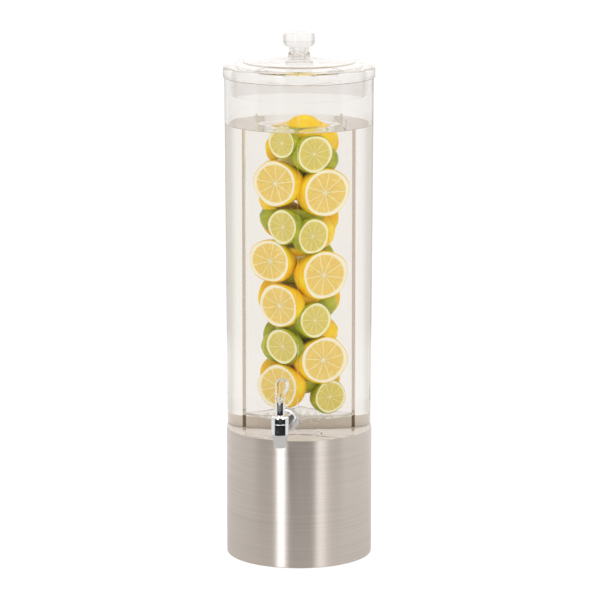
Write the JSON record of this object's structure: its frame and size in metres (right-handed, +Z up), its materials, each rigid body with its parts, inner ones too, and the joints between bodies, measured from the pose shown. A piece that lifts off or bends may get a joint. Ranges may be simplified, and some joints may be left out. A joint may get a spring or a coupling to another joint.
{
  "type": "beverage dispenser",
  "caption": "Tall clear drink dispenser on a round steel base, with a lift-out square infusion chamber, domed lid with knob and self-closing lever faucet.",
  "frame": {"origin": "on the tank's vertical axis, at the surface that the base stands on", "axes": "+Z up along the tank's axis; the faucet points to -Y; +X to the right when looking at the back of the faucet from in front (along +Y)"},
  "size_m": [0.21, 0.266, 0.7355],
  "materials": {
    "brushed_steel": "brushed around the axis, satin",
    "inner_steel": "plain rolled sheet",
    "pad_rubber": "matt",
    "clear_tank": "clear moulded plastic, polished",
    "frosted_floor": "clear plastic with a frosted underside",
    "clear_lid": "clear moulded plastic, polished",
    "clear_chamber": "clear extruded sheet, polished",
    "chrome": "polished plating",
    "clear_silicone": "translucent, soft",
    "white_nut": "moulded",
    "steel_rod": "drawn stainless rod",
    "clear_lever": "clear moulded plastic"
  },
  "bodies": {
    "base": {"base_shell": "brushed_steel", "base_plate": "inner_steel", "base_pad": "pad_rubber", "tank_seat_ring": "inner_steel"},
    "tank": {"tank_wall": "clear_tank", "tank_floor": "frosted_floor", "chamber_locator": "clear_tank", "faucet_shank": "chrome", "faucet_flange": "chrome", "outer_gasket": "clear_silicone", "inner_gasket": "clear_silicone", "shank_nut": "white_nut", "faucet_body": "chrome", "faucet_bonnet": "chrome", "valve_spring": "steel_rod"},
    "valve_stem": {"valve_stem": "steel_rod", "seat_cup": "clear_silicone", "lever_pin": "steel_rod"},
    "lever": {"faucet_lever": "clear_lever"},
    "infusion_chamber": {"chamber_tube": "clear_chamber", "chamber_foot": "clear_chamber"},
    "lid": {"lid_cover": "clear_lid", "lid_knob": "clear_lid", "knob_screw": "clear_lid", "knob_washer": "clear_silicone"}
  },
  "joints": [
    {"name": "tank_lift", "type": "slide", "parent": "base", "child": "tank", "axis": [0, 0, 1], "range_m": [0, 0.04]},
    {"name": "lever_tilt", "type": "hinge", "parent": "tank", "child": "lever", "pos_m": [-0.00431, -0.15454, 0.2483], "axis": [0.788, -0.6157, 0], "range_deg": [0, 30], "stiffness_Nm_per_rad": 0.3, "springref_deg": -20.05},
    {"name": "stem_lift", "type": "slide", "parent": "tank", "child": "valve_stem", "axis": [0, 0, 1], "range_m": [0, 0.00377], "deforming": ["valve_spring"]},
    {"name": "chamber_lift", "type": "slide", "parent": "tank", "child": "infusion_chamber", "axis": [0, 0, 1], "range_m": [0, 0.515]},
    {"name": "lid_lift", "type": "slide", "parent": "infusion_chamber", "child": "lid", "axis": [0, 0, 1], "range_m": [0, 0.06]}
  ],
  "couplings": [
    {"joint": "stem_lift", "follows": "lever_tilt", "m_per_rad": 0.007}
  ]
}
